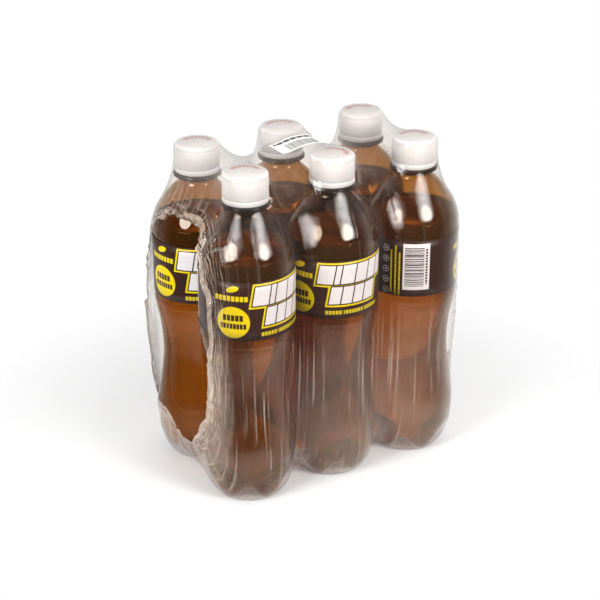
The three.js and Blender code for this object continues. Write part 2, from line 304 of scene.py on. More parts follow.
# inputs 0, 2 and 3 of a Mix node of numbers are its factor and its two values
seen = nodes.new("ShaderNodeMix")
links.new(path.outputs["Is Camera Ray"], seen.inputs[0])
links.new(room.outputs[0], seen.inputs[2])
seen.inputs[3].default_value = 1.0
glow = nodes.new("ShaderNodeBackground")
glow.inputs["Color"].default_value = (1, 1, 1, 1)
links.new(seen.outputs[0], glow.inputs["Strength"])
out = nodes.new("ShaderNodeOutputWorld")
links.new(glow.outputs[0], out.inputs["Surface"])

# light crosses many walls of film, plastic and drink before it leaves the case
scene = bpy.context.scene
scene.view_settings.view_transform = "Standard"
scene.cycles.max_bounces = 24
scene.cycles.transmission_bounces = 20
scene.cycles.transparent_max_bounces = 32
print("the room goes from", BRIGHT, "behind the case to", DIM, "behind the camera")

# %% [markdown]
# ## Places
#
# In a case that people pack, the bottles stand in straight rows, but each is turned by chance. The rows
# could be typed as a grid, but here each bottle stands where its packed cap is, so it follows the solids if
# those move. The turns are read from the picture: where a valley between two feet points, and where the
# round badge of the label points.

# %% Where the bottles stand
BOTTLES = range(1, 7)
FEET_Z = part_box("bottle_1")[0].z
VALLEY_DEG = dict(zip(BOTTLES, [-122, -106, -129, -100, -60, 30]))
BADGE_DEG = dict(zip(BOTTLES, [-135.6, -162.1, -37.9, -169, 20, -100]))


def stand(k):
    """The middle of bottle k's feet."""
    low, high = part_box(f"cap_{k}")
    return Vector(((low.x + high.x) / 2, (low.y + high.y) / 2, FEET_Z))


def hand_out(master, piece, node, turns):
    """Copies a finished piece to all six bottles, each copy with a mesh of its own."""
    made = []
    for k in BOTTLES:
        mesh = master.data.copy()
        mesh.transform(Matrix.Translation(stand(k)) @ Matrix.Rotation(math.radians(turns[k]), 4, "Z"))
        copy = bpy.data.objects.new(f"{piece}_{k}", mesh)
        bpy.context.scene.collection.objects.link(copy)
        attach(copy, "root")
        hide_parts(f"{node}_{k}")
        made.append(copy)
    bpy.data.objects.remove(master)
    print(len(made), piece, "pieces of", len(made[0].data.polygons), "faces each")


for k in BOTTLES:
    print("bottle", k, "stands at", [round(c / MM, 1) for c in stand(k)], "mm")

# %% [markdown]
# ## Bottle
#
# The real bottle is blown from a hot tube, so its wall is thin and everything is round: five feet, a bulge,
# a waist to hold, a straight panel for the label and a shoulder. It could be spun from a drawn outline.
# Here a ring is extruded ring by ring up the outline, as on a potter's wheel, because the same ring then
# also runs inwards to make the base.

# %% Outline of the bottle
SIDES = 100
FOOT_COUNT = 5
BULGE_R, BULGE_Z = 32.0 * MM, 31.0 * MM
PANEL_R, PANEL_HIGH = 31.8 * MM, 170.0 * MM
NECK_R, NECK_Z = 12.9 * MM, 204.0 * MM
WALL = 0.5 * MM
HAIR = 0.01 * MM


def smooth_line(points, steps):
    """A smooth curve through points, with so many steps from each to the next."""
    p = np.array(points, float)
    p = np.vstack([2 * p[0] - p[1], p, 2 * p[-1] - p[-2]])
    t = np.linspace(0, 1, steps, endpoint=False)[:, None]
    runs = []
    for a, b, c, d in zip(p, p[1:], p[2:], p[3:]):
        bend, twist = 2 * a - 5 * b + 4 * c - d, 3 * b - a - 3 * c + d
        runs.append((2 * b + (c - a) * t + bend * t**2 + twist * t**3) / 2)
    return np.vstack([*runs, p[-2]])


def shoulder(height):
    """The shoulder's radius, a parabola from the panel to the neck."""
    t = (height - PANEL_HIGH) / (NECK_Z - PANEL_HIGH)
    return NECK_R + (PANEL_R - NECK_R) * (1 - t * t)


# radius and height of each ring, in millimetres
BODY = [(32, 31), (31.7, 40), (29.6, 56), (27.7, 72), (27.3, 84), (28.6, 100), (31, 113), (31.8, 119)]
BEADS = [(32.3, 120.6), (31.8, 122.4), (31.8, 140), (31.8, 155), (31.8, 167.4), (32.2, 169), (31.7, 170.8)]
NECK = [(14.1, 203), (13.2, 204.4), (12.9, 206), (12.9, 207.5), (13.4, 208)]
COLLAR = [(16, 208.1), (16.4, 208.5), (16.4, 209.9), (16, 210.4), (12.8, 210.6), (12.4, 211.2), (12.4, 227)]
side = [*smooth_line(np.array(BODY) * MM, 4)]
side += [np.array(point) * MM for point in BEADS]
side += [np.array((shoulder(z), z)) for z in np.linspace(172.5, 201.5, 16) * MM]
side += [np.array(point) * MM for point in [*NECK, *COLLAR]]
widest = 2 * max(r for r, _ in side)
print("the outline has", len(side), "rings and is", round(widest / MM, 1), "mm wide")

# %% Raise the wall ring by ring
def pick(obj, wanted):
    """Selects in edit mode the vertices that a test on their place wants."""
    bpy.ops.object.mode_set(mode="OBJECT")
    mesh = obj.data
    for part in (mesh.vertices, mesh.edges, mesh.polygons):
        part.foreach_set("select", [False] * len(part))
    for vertex in mesh.vertices:
        vertex.select = bool(wanted(vertex.co))
    bpy.ops.object.mode_set(mode="EDIT")
    bpy.ops.mesh.select_mode(type="VERT")


def extrude_ring(start, rings):
    """Extrudes the selected ring to each radius and height in turn."""
    r, z = start
    for next_r, next_z in rings:
        bpy.ops.mesh.extrude_region_move(TRANSFORM_OT_translate={"value": (0, 0, next_z - z)})
        bpy.ops.transform.resize(value=(next_r / r, next_r / r, 1), center_override=(0, 0, next_z))
        r, z = next_r, next_z


def add_ring(name, radius, height, sides):
    """A level ring of points, left in edit mode with all of it selected."""
    deselect()
    bpy.ops.mesh.primitive_circle_add(vertices=sides, radius=radius, location=(0, 0, height))
    ring = bpy.context.object
    ring.name = name
    bpy.ops.object.transform_apply(location=True)
    bpy.ops.object.mode_set(mode="EDIT")
    bpy.ops.mesh.select_all(action="SELECT")
    return ring


BASE_RINGS = 30
shell = add_ring("shell", *side[0], SIDES)
extrude_ring(side[0], side[1:])
pick(shell, lambda at: at.z < BULGE_Z + HAIR)
extrude_ring(side[0], [(BULGE_R * k / BASE_RINGS, BULGE_Z) for k in range(BASE_RINGS - 1, 0, -1)])
bpy.ops.mesh.extrude_region_move()
bpy.ops.mesh.merge(type="CENTER")
bpy.ops.object.mode_set(mode="OBJECT")
print("the wall and its flat floor have", len(shell.data.polygons), "faces")

# %% [markdown]
# ## Feet
#
# A blown bottle for a fizzy drink stands on five hollow feet, with arched valleys between them that keep
# the floor from bulging. They could be sculpted one by one and would then never be quite alike. So the flat
# floor is moved by a formula: one line runs from the centre down a foot and out to the bulge, one along a
# valley, and the angle mixes the two.

# %% Press the feet into the floor
FOOT_LINE = [(0, 7.5), (10, 5.5), (18.8, 0), (23.2, 0), (27.6, 6.5), (31, 18), (32, 31)]
VALLEY_LINE = [(0, 7.5), (9, 7.8), (17.5, 8.6), (22.5, 9.6), (27, 12.5), (30.4, 19), (32, 31)]


def press_feet(mesh):
    """Moves the flat floor down onto the feet and the valleys; its outer ring stays."""
    steps = BASE_RINGS // (len(FOOT_LINE) - 1)
    foot = smooth_line(np.array(FOOT_LINE) * MM, steps)
    valley = smooth_line(np.array(VALLEY_LINE) * MM, steps)
    for vertex in mesh.vertices:
        rho = math.hypot(vertex.co.x, vertex.co.y)
        if vertex.co.z > BULGE_Z + HAIR or rho > BULGE_R * 0.999:
            continue
        ring = round(rho / BULGE_R * BASE_RINGS)
        angle = math.atan2(vertex.co.y, vertex.co.x)
        share = (1 - math.cos(FOOT_COUNT * angle)) / 2
        r, z = valley[ring] * (1 - share) + foot[ring] * share
        vertex.co = (r * math.cos(angle), r * math.sin(angle), max(0, z))


press_feet(shell.data)
bpy.ops.object.mode_set(mode="EDIT")
bpy.ops.mesh.select_all(action="SELECT")
bpy.ops.mesh.normals_make_consistent(inside=False)
bpy.ops.object.mode_set(mode="OBJECT")
bpy.ops.object.shade_smooth()
print("the feet reach down to", round(min(v.co.z for v in shell.data.vertices) / MM, 2), "mm")

# %% [markdown]
# ## Drink
#
# The drink fills the bottle to just above the start of the shoulder, with a little rise where it wets the
# wall. It could be a plain cylinder, but a drink that stops short of the wall would show a gap of air. So
# it is cut from the bottle's own outside, brought in until its skin lies inside the wall, and closed at its
# level.

# %% Drink
DRINK_LEVEL = 178.0 * MM
DRINK_INSET = 0.3 * MM
RISE = 0.8 * MM


def copy_of(obj, name):
    """A copy with a mesh of its own, selected alone and active."""
    deselect()
    made = bpy.data.objects.new(name, obj.data.copy())
    bpy.context.scene.collection.objects.link(made)
    made.select_set(True)
    bpy.context.view_layer.objects.active = made
    return made


drink = copy_of(shell, "drink")
bpy.ops.object.mode_set(mode="EDIT")
bpy.ops.mesh.select_all(action="SELECT")
bpy.ops.transform.shrink_fatten(value=-DRINK_INSET)
bpy.ops.mesh.bisect(plane_co=(0, 0, DRINK_LEVEL), plane_no=(0, 0, 1), clear_outer=True)
pick(drink, lambda at: at.z > DRINK_LEVEL - HAIR)
top_r = shoulder(DRINK_LEVEL) - DRINK_INSET
inner = [(top_r - step * MM, DRINK_LEVEL - RISE * fall) for step, fall in [(0.5, 0.5), (1.3, 0.85), (2.6, 1)]]
extrude_ring((top_r, DRINK_LEVEL), inner)
bpy.ops.mesh.edge_face_add()
bpy.ops.mesh.select_all(action="SELECT")
bpy.ops.mesh.normals_make_consistent(inside=False)
bpy.ops.object.mode_set(mode="OBJECT")
print("the drink is", round(max(v.co.x for v in drink.data.vertices) / MM, 2), "mm in radius")

# %% Drink finish
def drink_finish():
    """Clear, bending light as water does, with a faint cloud of ginger in it."""
    s = Shader("ginger_drink")
    tone = s.mix(s.spots(45.0, 3.0), srgb(230, 186, 112), srgb(240, 198, 124))
    sockets = {"Base Color": tone, "Roughness": 0.06, "IOR": 1.34, "Specular IOR Level": 0.1}
    return s.surface(s.node("BsdfPrincipled", None, {**sockets, "Transmission Weight": 0.93}))


drink.data.materials.append(drink_finish())
hand_out(drink, "drink_fill", "drink", VALLEY_DEG)

# %% [markdown]
# ## Wall and neck
#
# The wall gets its thickness last, inwards, so that the outside stays as modelled. A glass shader could do
# for it, but light goes almost straight through so thin a wall and only takes its amber, while the thick
# neck and its collar look nearly black. So the wall is a tinted Transparent, quick to render, under a
# mirror that grows stronger towards the edges.

# %% Bottle wall
DARK_FROM = 206.8 * MM
WALL_TINT = (0.61, 0.372, 0.13, 1)
NECK_TINT = (0.10, 0.045, 0.02, 1)


def thicken(obj, thickness, offset):
    """Gives a sheet its thickness, inwards where the offset is -1 and outwards where it is 1."""
    bpy.context.view_layer.objects.active = obj
    obj.select_set(True)
    wall = obj.modifiers.new("thickness", "SOLIDIFY")
    wall.thickness = thickness
    wall.offset = offset
    bpy.ops.object.modifier_apply(modifier="thickness")


def amber(name, tint, gloss):
    """Clear tinted plastic; light crosses both faces of the wall, so each takes the tint's square root."""
    s = Shader(name)
    ripple = s.spots(60.0, 2.0, stretch=(1, 1, 0.35))
    bump = s.node("Bump", None, {"Height": ripple, "Strength": 0.05, "Distance": 0.001})
    clear = s.node("BsdfTransparent", None, {"Color": [math.sqrt(c) for c in tint]})
    shine = s.node("BsdfGlossy", None, {"Roughness": gloss, "Normal": bump})
    return s.surface(s.node("MixShader", None, {0: s.mirror(0.04, bump), 1: clear, 2: shine}))


thicken(shell, WALL, -1)
shell.data.materials.append(amber("amber_wall", WALL_TINT, 0.02))
shell.data.materials.append(amber("amber_neck", NECK_TINT, 0.05))
for face in shell.data.polygons:
    if face.center.z > DARK_FROM:
        face.material_index = 1
hand_out(shell, "bottle_shell", "bottle", VALLEY_DEG)

# %% [markdown]
# ## Label
#
# The label is printed film wound once round the panel and glued where its ends overlap, opposite the round
# badge. It could be a strip that is bent round, but a ring raised in a few steps has the panel's round
# shape at once, and the strip where the ends overlap is then pushed out. Its own UV map counts once round
# from the overlap, so that the print is drawn in millimetres.

# %% Label sleeve
LABEL_LOW, LABEL_HIGH = 125.5 * MM, 166.5 * MM
LABEL_R = 32.05 * MM
LABEL_T = 0.15 * MM
LAP_DEG = 6
LABEL_SIDES, LABEL_STEPS = 120, 6

label = add_ring("label", LABEL_R, LABEL_LOW, LABEL_SIDES)
levels = [LABEL_LOW + (LABEL_HIGH - LABEL_LOW) * k / LABEL_STEPS for k in range(1, LABEL_STEPS + 1)]
extrude_ring((LABEL_R, LABEL_LOW), [(LABEL_R, level) for level in levels])
bpy.ops.mesh.select_all(action="SELECT")
bpy.ops.mesh.normals_make_consistent(inside=False)
pick(label, lambda at: abs(math.atan2(at.y, -at.x)) < math.radians(LAP_DEG))
bpy.ops.transform.shrink_fatten(value=LABEL_T)
bpy.ops.object.mode_set(mode="OBJECT")


def wrap_uv(obj, low, high):
    """A UV map that runs once round the piece's axis and from one height to another."""
    mesh = obj.data
    layer = mesh.uv_layers.new(name="around")
    for face in mesh.polygons:
        middle = math.atan2(face.center.y, face.center.x)
        for loop in face.loop_indices:
            at = mesh.vertices[mesh.loops[loop].vertex_index].co
            turn = (math.atan2(at.y, at.x) - middle + math.pi) % math.tau - math.pi
            layer.data[loop].uv = ((middle + turn) / math.tau + 0.5, (at.z - low) / (high - low))


wrap_uv(label, LABEL_LOW, LABEL_HIGH)
bpy.ops.object.shade_smooth()
thicken(label, LABEL_T, 1)
print("the label is", round(math.tau * LABEL_R / MM), "mm long")

# %% [markdown]
# ## Print
#
# The label is printed dark brown, with a yellow badge under a small leaf, rows of small marks, two rows of
# slanted white blocks in a yellow outline, a column of rings and a white panel of stripes. It could be
# painted on a picture, but a picture blurs close up. Here each is a mask made from distances in
# millimetres: along the label from the badge, and up from its lower edge.

# %% Masks in millimetres
EDGE = 0.25


def box_mask(x, y, left, right, low, high):
    return x.between(left, right, EDGE) * y.between(low, high, EDGE)


def disc_mask(x, y, cx, cy, r):
    far = ((x - cx) ** 2 + (y - cy) ** 2) ** 0.5
    return far.below(r, EDGE)


def dashes(along, pitch, fill, start=0):
    """Short marks in a row, each filling a share of its pitch."""
    return ((along - start) / pitch).math("FRACT").below(fill, 0.12)


print("an edge of print fades over", EDGE, "mm")

# %% White blocks
TOP_ROW = [(13.6, 24.3), (25.2, 28.7), (29.6, 38.9), (39.8, 48.9), (49.8, 57.6), (58.5, 65.4)]
LOW_ROW = [(21.6, 29.0), (29.9, 37.2), (38.1, 45.4), (46.3, 55.7)]
TOP_HEIGHTS, LOW_HEIGHTS = (24.6, 37.8), (10.2, 22.6)
LEAN = 0.17
OUTLINE_IN, OUTLINE_OUT = 0.9, 2.1


def block_rows(x, y, grow=0):
    """Both rows of slanted blocks, or with grow the whole of each row in one, grown by so much."""
    rows = []
    for row, (low, high) in ((TOP_ROW, TOP_HEIGHTS), (LOW_ROW, LOW_HEIGHTS)):
        lean = x - (y - (low + high) / 2) * LEAN
        spans = [(row[0][0], row[-1][1])] if grow else row
        across = 0
        for left, right in spans:
            across = lean.between(left - grow, right + grow, EDGE) + across
        rows.append(across * y.between(low - grow, high + grow, EDGE))
    return rows[0].math("MAXIMUM", rows[1])


def block_outline(x, y):
    return block_rows(x, y, OUTLINE_OUT) * (1 - block_rows(x, y, OUTLINE_IN))


print("the label has", len(TOP_ROW) + len(LOW_ROW), "white blocks")

# %% Badge and small marks
BADGE_X, BADGE_Y, BADGE_R = -0.3, 12.8, 11.1
LEAF_X, LEAF_Y, LEAF_R = -0.4, 36.3, 4.2
UPRIGHTS = [(-62.5, 2.4, 33.6), (-59.4, 0.8, 37), (-56.6, 0.8, 32.4)]


def badge(x, y):
    """The round badge with two rows of dark marks, and above it a row of yellow marks and a leaf."""
    dark = box_mask(x, y, -7.2, 6.7, 13.8, 18.0) * dashes(x, 2.8, 0.82, -7.2)
    dark = dark + box_mask(x, y, -9.3, 8.6, 8.2, 11.9) * dashes(x, 2.25, 0.82, -9.3)
    yellow = disc_mask(x, y, BADGE_X, BADGE_Y, BADGE_R) * (1 - dark)
    yellow = yellow + box_mask(x, y, -12.6, 9.9, 27.8, 31.4) * dashes(x, 2.84, 0.78, -12.6)
    return yellow + disc_mask(x, (y - LEAF_Y) * 2 - x * 0.5, LEAF_X, 0, LEAF_R)


def small_marks(x, y):
    """A row of small marks under the blocks, and upright lines of them on the far side."""
    marks = box_mask(x, y, 18, 60, 2.6, 5.4) * dashes(x, 2.3, 0.8) * dashes(x, 15.5, 0.93)
    for at, low, high in UPRIGHTS:
        marks = marks + box_mask(x, y, at - 0.6, at + 0.6, low, high) * dashes(y, 1.7, 0.75)
    return marks


print("the badge is", 2 * BADGE_R, "mm across")

# %% Rings and white panel
RING_X, RING_PITCH = -66.5, 7.7
WHITE_PANEL = (-54.2, -35.7, 5, 38.9)
STRIPES = (-52.9, -39.6, 7.6, 36.3)
TICKS = (-38.6, -37.1, 9, 35)


def ring_column(x, y):
    """Five rings one above another, each with a dot in it."""
    ring_y = abs((y / RING_PITCH).math("FRACT") * RING_PITCH - 3.5)
    off = ((x - RING_X) ** 2 + ring_y**2) ** 0.5
    rings = off.between(1.8, 2.4, 0.3) + off.below(0.9, 0.5)
    return rings * y.between(0.8, 37.5, EDGE)


def white_panel(s, x, y):
    """A white panel with stripes of uneven thickness, and small ticks beside them."""
    stripes = s.node("TexNoise", {"noise_dimensions": "1D"}, {"W": y, "Scale": 1.25, "Detail": 1.0})
    stripes = stripes.above(0.5, 0.02) * box_mask(x, y, *STRIPES)
    ticks = box_mask(x, y, *TICKS) * dashes(y, 2.1, 0.7)
    return box_mask(x, y, *WHITE_PANEL) * (1 - stripes - ticks)


print("the white panel is", round(WHITE_PANEL[1] - WHITE_PANEL[0], 1), "mm wide")

# %% Label finish
BROWN = srgb(58, 34, 28)
YELLOW = srgb(240, 214, 10)
WHITE = srgb(236, 231, 233)


def label_finish():
    s = Shader("label_print")
    u, v, _ = s.parts(s.node("UVMap", {"uv_map": "around"}))
    x = (u - 0.5) * (math.tau * LABEL_R / MM)
    y = v * ((LABEL_HIGH - LABEL_LOW) / MM)
    yellow = badge(x, y) + block_outline(x, y) + small_marks(x, y)
    white = block_rows(x, y) + white_panel(s, x, y)
    colour = s.mix(yellow.math("MINIMUM", 1), BROWN, YELLOW)
    colour = s.mix(ring_column(x, y) * 0.5, colour, WHITE)
    colour = s.mix(white.math("MINIMUM", 1), colour, WHITE)
    grain = s.spots(900.0, 2.0)
    bump = s.node("Bump", None, {"Height": s.spots(40.0, 2.0), "Strength": 0.08, "Distance": 0.001})
    sockets = {"Base Color": colour, "Roughness": 0.3 + grain * 0.1, "Normal": bump}
    return s.surface(s.node("BsdfPrincipled", None, {**sockets, "Specular IOR Level": 0.3}))


label.data.materials.append(label_finish())
hand_out(label, "label_wrap", "label", BADGE_DEG)

# %% [markdown]
# ## Cap
#
# A screw cap is moulded: a skirt with fine ribs to grip, a band below it that breaks off when the cap is
# first turned, and a flat top with a rounded edge. The ribs could be modelled one by one, but here the ring
# has as many sides as there are ribs, and insetting every side by itself, with a little depth, raises all
# of them at once. The red arc on the top is flat print, so it is a mask in the finish.

# %% Cap
CAP_R, CAP_LOW, CAP_TOP = 15.0 * MM, 211.2 * MM, 230.4 * MM
CAP_RIBS = 84
CAP_ROUND, CAP_DRAFT = 1.9 * MM, 0.2 * MM
CAP_INSIDE = [(13.3 * MM, CAP_LOW), (13.1 * MM, 227.6 * MM)]
SKIRT = [(14.7, 211.2), (15, 211.5), (15, 214.5), (14.75, 214.7), (14.75, 215), (14.92, 215.2), (14.8, 227.6)]
RIBS_LOW, RIBS_HIGH, RIBS_IN = 215.4 * MM, 227.4 * MM, 14.5 * MM


def round_edge(degrees):
    """A point of the round between the skirt and the top."""
    a = math.radians(degrees)
    r = CAP_R - CAP_DRAFT - CAP_ROUND * (1 - math.cos(a))
    return r, CAP_TOP - CAP_ROUND * (1 - math.sin(a))


cap = add_ring("cap", *CAP_INSIDE[0], CAP_RIBS)
outside = [(r * MM, z * MM) for r, z in SKIRT] + [round_edge(degrees) for degrees in (15, 35, 55, 75, 90)]
extrude_ring(CAP_INSIDE[0], outside)
bpy.ops.mesh.edge_face_add()
pick(cap, lambda at: at.z < CAP_LOW + HAIR and math.hypot(at.x, at.y) < CAP_INSIDE[0][0] + CAP_DRAFT)
extrude_ring(CAP_INSIDE[0], CAP_INSIDE[1:])
bpy.ops.mesh.edge_face_add()
bpy.ops.mesh.select_all(action="SELECT")
bpy.ops.mesh.normals_make_consistent(inside=False)
bpy.ops.object.mode_set(mode="OBJECT")
bpy.ops.object.shade_smooth()
for face in cap.data.polygons:
    level = RIBS_LOW < face.center.z < RIBS_HIGH
    face.select = level and math.hypot(face.center.x, face.center.y) > RIBS_IN
bpy.ops.object.mode_set(mode="EDIT")
bpy.ops.mesh.select_mode(type="FACE")
bpy.ops.mesh.inset(thickness=0.24 * MM, depth=0.26 * MM, use_individual=True)
bpy.ops.object.mode_set(mode="OBJECT")
print("the cap has", len(cap.data.polygons), "faces")

# %% Cap finish
ARC_IN, ARC_OUT = 7.6, 11.0
ARC_TURN = 1.2
CAP_DEG = dict(zip(BOTTLES, [60, 20, 60, 60, 70, 75]))


def top_uv(obj):
    """A UV map that looks straight down on the cap."""
    layer = obj.data.uv_layers.new(name="above")
    for loop in obj.data.loops:
        at = obj.data.vertices[loop.vertex_index].co
        layer.data[loop.index].uv = (at.x / (2 * CAP_R) + 0.5, at.y / (2 * CAP_R) + 0.5)


def cap_finish():
    """White plastic, with an arc of red dashes on the top alone."""
    s = Shader("white_cap")
    u, v, _ = s.parts(s.node("UVMap", {"uv_map": "above"}))
    x = (u - 0.5) * (2 * CAP_R / MM)
    y = (v - 0.5) * (2 * CAP_R / MM)
    far = (x * x + y * y) ** 0.5
    turn = y.math("ARCTAN2", x)
    arc = far.between(ARC_IN, ARC_OUT, 0.2) * abs(turn).below(ARC_TURN, 0.02) * dashes(turn, 0.27, 0.66)
    height = s.parts(s.node("TexCoord", output="Object"))[2]
    arc = arc * height.above(CAP_TOP + FEET_Z - 0.8 * MM, 0.2 * MM)
    tone = s.mix(s.spots(120.0), srgb(226, 225, 226), srgb(234, 233, 234))
    colour = s.mix(arc, tone, srgb(190, 52, 36))
    bump = s.node("Bump", None, {"Height": s.spots(500.0), "Strength": 0.06, "Distance": 0.001})
    sockets = {"Base Color": colour, "Roughness": 0.42, "Normal": bump}
    milky = {"Subsurface Weight": 0.12, "Subsurface Scale": 2 * MM}
    return s.surface(s.node("BsdfPrincipled", None, {**sockets, **milky}))


top_uv(cap)
cap.data.materials.append(cap_finish())
hand_out(cap, "screw_cap", "cap", CAP_DEG)

# %% [markdown]
# ## Film sleeve
#
# A tube of film is pulled over the six bottles and shrunk by hot air until it is tight, so it touches only
# what sticks out and hangs like a tent between. Cloth simulation could do it, but slowly and never quite
# tight. Here each point of a flat sheet, rolled round the case, slides on a line of its own towards the
# mean of its neighbours, until a bottle or the floor stops it. What stops it is kept simple: a formula for
# the distance to the nearest bottle, in which a bottle is an outline turned round its axis. All of this is
# in millimetres.

# %% Shapes that the film lies on
CLEAR = 0.45
BRIDGE_R, BRIDGE_TOP = 9.0, 229.0
STICKER_AT, STICKER_SIZE = (-5.0, 1.0), (38.0, 21.0)
STICKER_REST = 227.0
PITCH = (stand(2).x - stand(1).x) / MM
SPOTS = np.array([[stand(k).x, stand(k).y] for k in BOTTLES]) / MM
FOOT_Z = FEET_Z / MM

BODY_SIDE = [(r / MM, z / MM) for r, z in side if z / MM < 116]
SHOULDER_SIDE = [(r / MM, z / MM) for r, z in side if 171 < z / MM < 203]
CAP_HIGH = 230.4
hull = [(0, 0), (23.2, 0), (27.6, 6.5), (31, 18), *BODY_SIDE]
hull += [(32.3, 125), (32.3, 167), (31.9, 170), *SHOULDER_SIDE]
hull += [(16.4, 208.3), (16.4, 210.3), (15.1, 211.2), (15.1, 228.4), (13.2, CAP_HIGH), (0, CAP_HIGH)]
HULL = np.array(hull)


def hull_radius(z):
    return np.interp(z, HULL[:, 1], HULL[:, 0], left=0, right=0)


def distance(points):
    """Distance in millimetres from points to the nearest bottle, negative inside one."""
    flat = points.reshape(-1, 3)
    rho = np.sqrt(((flat[:, None, :2] - SPOTS[None]) ** 2).sum(-1)).min(1)
    z = flat[:, 2] - FOOT_Z
    a, b = HULL[:-1], HULL[1:]
    run = b - a
    at = np.stack([rho, z], -1)[:, None]
    t = np.clip(((at - a) * run).sum(-1) / np.maximum((run**2).sum(-1), 1e-9), 0, 1)
    gap = np.sqrt(((at - a - t[..., None] * run) ** 2).sum(-1)).min(1)
    inside = (z > 0) & (z < CAP_HIGH) & (rho < hull_radius(z))
    gap = np.where(inside, -gap, gap)
    # the film sets stiff where it is stretched from a front cap to the back one, so there it sags little
    column = np.abs(flat[:, 0, None] - SPOTS[None, :3, 0]).min(1)
    over = np.maximum(0, np.abs(flat[:, 1]) - PITCH / 2)
    bridge = np.sqrt(column**2 + over**2 + (flat[:, 2] - BRIDGE_TOP + BRIDGE_R) ** 2) - BRIDGE_R
    # and the stiff sticker keeps it flat over its own width
    half = np.array([STICKER_SIZE[0] / 2 + 1.5, STICKER_SIZE[1] / 2 + 1.5, 1.0])
    off = np.abs(flat - [*STICKER_AT, STICKER_REST - 1]) - half
    plate = np.linalg.norm(np.maximum(off, 0), axis=-1)
    return np.minimum(np.minimum(gap, bridge), plate).reshape(points.shape[:-1])


print("the film's bottles have an outline of", len(HULL), "points")

# %% [markdown]
# ## The loose sheet
#
# Before the hot air, the film is a loose tube that reaches past the end bottles. It could start as a plain
# cylinder, but it shrinks sooner and with fewer folds from a shape that is already near. So a loop is drawn
# round the case and pushed along it, and both ends are drawn in to an oval, the edge of the opening.

# %% The sheet before it shrinks
ALONG, AROUND = 41, 76
HALF_LOOP = [(0, 0.5), (22, 0.5), (42, 0.5), (56, 1), (62, 10), (66, 25), (67, 44), (67, 74), (67, 106)]
HALF_LOOP += [(67, 136), (67, 166), (62, 186), (56, 205), (50.6, 225), (46.4, 234), (32.9, 234)]
HALF_LOOP += [(19.4, 234), (14.8, 233), (0, 233)]
END_X, END_FROM = 79.3, 0.62
END_REACH = PITCH + 33.1
RIM_Z, RIM_HALF_Y, RIM_HALF_Z = 116.0, 45.0, 81.0
RIM_OFF = {-1: 1.4, 1: 0.4}
RIM_FLARE = {-1: 5.2, 1: 1.5}
TAUT_R, TAUT_LOW, TAUT_HIGH = 32.3, 31, 119


def loop_round(count):
    """Points round the case in a plane across it, from the middle of the underside, towards the back."""
    half = np.array(HALF_LOOP, float)
    whole = np.vstack([half, half[-2::-1] * [-1, 1]])
    run = np.concatenate([[0], np.cumsum(np.hypot(*np.diff(whole, axis=0).T))])
    at = np.linspace(0, run[-1], count, endpoint=False)
    return np.stack([np.interp(at, run, whole[:, 0]), np.interp(at, run, whole[:, 1])], -1)


def rim(y, z, sign):
    """The oval edge of one end opening, which lies on the end bottles or stands a little off them."""
    angle = np.arctan2(z - RIM_Z, y * 1.6)
    ragged = 1 + 0.025 * np.sin(7 * angle + 1) + 0.015 * np.sin(17 * angle)
    rim_y = RIM_HALF_Y * ragged * np.sign(np.cos(angle)) * np.abs(np.cos(angle)) ** 0.8
    rim_z = RIM_Z + RIM_HALF_Z * ragged * np.sin(angle)
    taut = (rim_z > TAUT_LOW) & (rim_z < TAUT_HIGH)
    r = np.where(taut, TAUT_R + RIM_OFF[sign], hull_radius(rim_z - FOOT_Z)) + CLEAR
    beyond = np.maximum(0, np.abs(rim_y) - PITCH / 2)
    x = PITCH + np.sqrt(np.maximum(r * r - beyond**2, 1)) + RIM_FLARE[sign] * np.cos(angle) ** 2
    return x, rim_y, rim_z


def sheet_start(along, around_count):
    """The loose sleeve as a grid of points: rows along the case, stations round it."""
    y, z = loop_round(around_count).T
    rows = []
    for share in np.linspace(-1, 1, along):
        size, sign = abs(share), -1 if share < 0 else 1
        if size <= END_FROM:
            rows.append(np.stack([np.full_like(y, sign * END_X * size / END_FROM), y, z], -1))
            continue
        t = (size - END_FROM) / (1 - END_FROM)
        rx, ry, rz = rim(y, z, sign)
        x = END_X + (END_REACH - END_X) * math.sin(math.pi / 2 * t)
        row = np.stack([np.full_like(y, x), y + (ry - y) * t * t, z + (rz - z) * t * t], -1)
        if t == 1:
            row = np.stack([rx, ry, rz], -1)
        rows.append(row * [sign, 1, 1])
    return np.array(rows)


loose = sheet_start(ALONG, AROUND)
print("the loose sleeve is", np.ptp(loose, axis=(0, 1)).round(1).tolist(), "mm long, deep and high")

# %% [markdown]
# ## Lines to slide on
#
# Shrinking film only moves inwards. Each point could be pushed out of whatever it enters, but then it may
# slip past a bottle. So each point keeps to a line of its own, which begins on a bar through the middle of
# the case, and one walk inwards along the line finds where a bottle stops it.

# %% Lines that the points slide on
CORE_X, CORE_LOW, CORE_HIGH = 58, 70, 165
FLOOR_CLEAR = 0.3
WALK_FROM, WALK_STEPS = 25, 70
NEARLY_ZERO = 1e-6


def lines(start):
    """The line that each point slides on: where it begins, its way, and how near and how far it may be."""
    x = np.clip(start[..., 0], -CORE_X, CORE_X)
    origin = np.stack([x, 0 * x, np.clip(start[..., 2], CORE_LOW, CORE_HIGH)], -1)
    way = start - origin
    length = np.linalg.norm(way, axis=-1)
    way /= length[..., None]
    down = np.minimum(way[..., 2], -NEARLY_ZERO)
    ground = np.where(way[..., 2] < -NEARLY_ZERO, (FLOOR_CLEAR - origin[..., 2]) / down, np.inf)
    near = length + WALK_FROM
    for _ in range(WALK_STEPS):
        gap = distance(origin + way * near[..., None]) - CLEAR
        near = np.where((gap > 0.02) & (near > 0), near - np.maximum(gap, 0.05), near)
    near = np.minimum(np.maximum(near, 0), ground)
    return origin, way, near, ground, np.minimum(length, ground)


_, _, near, _, first = lines(loose)
print("a point may slide in by at most", round(float((first - near).max())), "mm")

